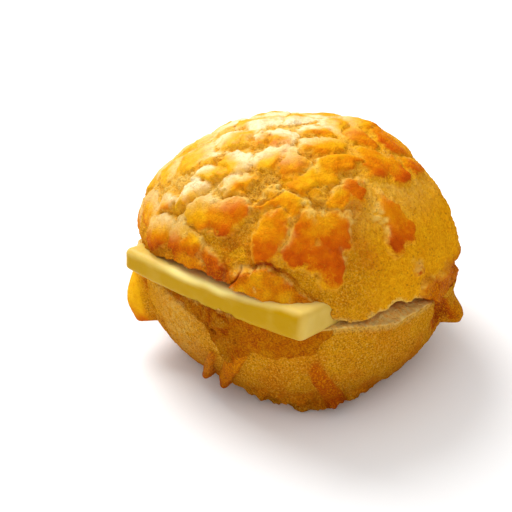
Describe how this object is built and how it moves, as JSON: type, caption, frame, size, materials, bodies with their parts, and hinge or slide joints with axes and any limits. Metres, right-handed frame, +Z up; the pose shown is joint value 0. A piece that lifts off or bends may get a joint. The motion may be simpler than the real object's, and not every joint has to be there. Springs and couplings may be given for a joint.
{
  "type": "pineapple bun",
  "caption": "Round sweet bun with a crackled golden topping, slit from the front and filled with a thick slab of butter.",
  "frame": {"origin": "middle of the flat base, on the surface that the bun rests on", "axes": "+Z up, +X along the slab of butter, -Y out of the slit's mouth"},
  "size_m": [0.1113, 0.1035, 0.0814],
  "materials": {
    "crust": "matte golden bread with glossy orange-brown plates of topping",
    "butter": "soft pale yellow butter with a faint gloss"
  },
  "bodies": {
    "root": {"bun": "crust", "butter": "butter"}
  },
  "joints": []
}
